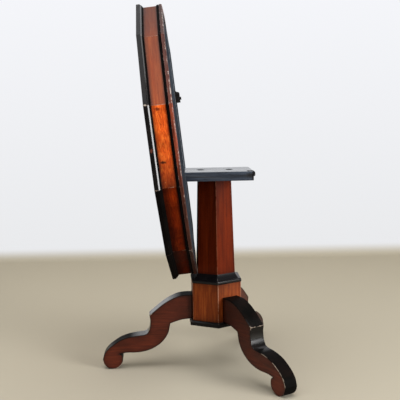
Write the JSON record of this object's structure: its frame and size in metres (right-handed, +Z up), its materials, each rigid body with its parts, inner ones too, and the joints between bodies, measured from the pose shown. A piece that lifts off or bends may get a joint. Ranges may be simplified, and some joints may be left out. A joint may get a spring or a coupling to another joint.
{
  "type": "pedestal table",
  "caption": "Tilt-top pedestal table: a polygonal veneered top that tips up about pins in its block, on a faceted column with scroll legs, and a sliding catch.",
  "frame": {"origin": "on the floor, under the middle of the stored table's box", "axes": "+Z up; +X from the tilted top towards the free end of its block; the pivot pins run along Y"},
  "size_m": [0.65, 0.917, 1.2511],
  "materials": {
    "top_veneer": "french polished mahogany veneer",
    "apron_veneer": "french polished mahogany veneer, rubbed paler at the arrises",
    "ebonised_trim": "ebonised and polished",
    "column_veneer": "french polished mahogany veneer",
    "plinth_veneer": "french polished mahogany veneer",
    "leg_wood": "polished mahogany sides, ebonised top edge",
    "block_wood": "black stained, worn satin",
    "bearer_wood": "dark stained, satin",
    "fitting_iron": "blackened iron",
    "screw_iron": "dull browned iron",
    "pin_iron": "rubbed iron"
  },
  "bodies": {
    "base": {"base_moulding": "ebonised_trim", "base_plate": "fitting_iron", "base_plate_screw_1": "screw_iron", "base_plate_screw_2": "screw_iron", "base_plate_screw_3": "screw_iron", "block_screw_1": "screw_iron", "block_screw_2": "screw_iron", "bumper_screw_1": "screw_iron", "bumper_screw_2": "screw_iron", "collar": "ebonised_trim", "column": "column_veneer", "end_bumper": "fitting_iron", "leg_front": "leg_wood", "leg_left": "leg_wood", "leg_rear": "leg_wood", "plinth": "plinth_veneer", "strike_plate": "fitting_iron", "strike_screw_1": "screw_iron", "strike_screw_2": "screw_iron", "tilt_block": "block_wood"},
    "top": {"apron_board_01": "apron_veneer", "apron_board_02": "apron_veneer", "apron_board_03": "apron_veneer", "apron_board_04": "apron_veneer", "apron_board_05": "apron_veneer", "apron_board_06": "apron_veneer", "apron_board_07": "apron_veneer", "apron_board_08": "apron_veneer", "apron_board_09": "apron_veneer", "apron_board_10": "apron_veneer", "apron_board_11": "apron_veneer", "apron_board_12": "apron_veneer", "bearer_front": "bearer_wood", "bearer_rear": "bearer_wood", "bearer_screw_front_1": "screw_iron", "bearer_screw_front_2": "screw_iron", "bearer_screw_front_3": "screw_iron", "bearer_screw_rear_1": "screw_iron", "bearer_screw_rear_2": "screw_iron", "bearer_screw_rear_3": "screw_iron", "catch_case": "fitting_iron", "catch_case_screw_1": "screw_iron", "catch_case_screw_2": "screw_iron", "catch_case_screw_3": "screw_iron", "catch_case_screw_4": "screw_iron", "catch_rail": "bearer_wood", "edge_moulding": "ebonised_trim", "pivot_pin_front": "pin_iron", "pivot_pin_rear": "pin_iron", "rim_bead": "ebonised_trim", "seat_rail_back": "bearer_wood", "seat_rail_fore": "bearer_wood", "top_board": "top_veneer"},
    "bolt": {"catch_bolt": "fitting_iron", "catch_knob": "fitting_iron"}
  },
  "joints": [
    {"name": "top_tilt", "type": "hinge", "parent": "base", "child": "top", "pos_m": [-0.03475, 0, 0.6847], "axis": [0, 1, 0], "range_deg": [0, 96.27]},
    {"name": "catch_bolt_slide", "type": "slide", "parent": "top", "child": "bolt", "axis": [0.1092, 0, -0.994], "range_m": [0, 0.011]}
  ]
}
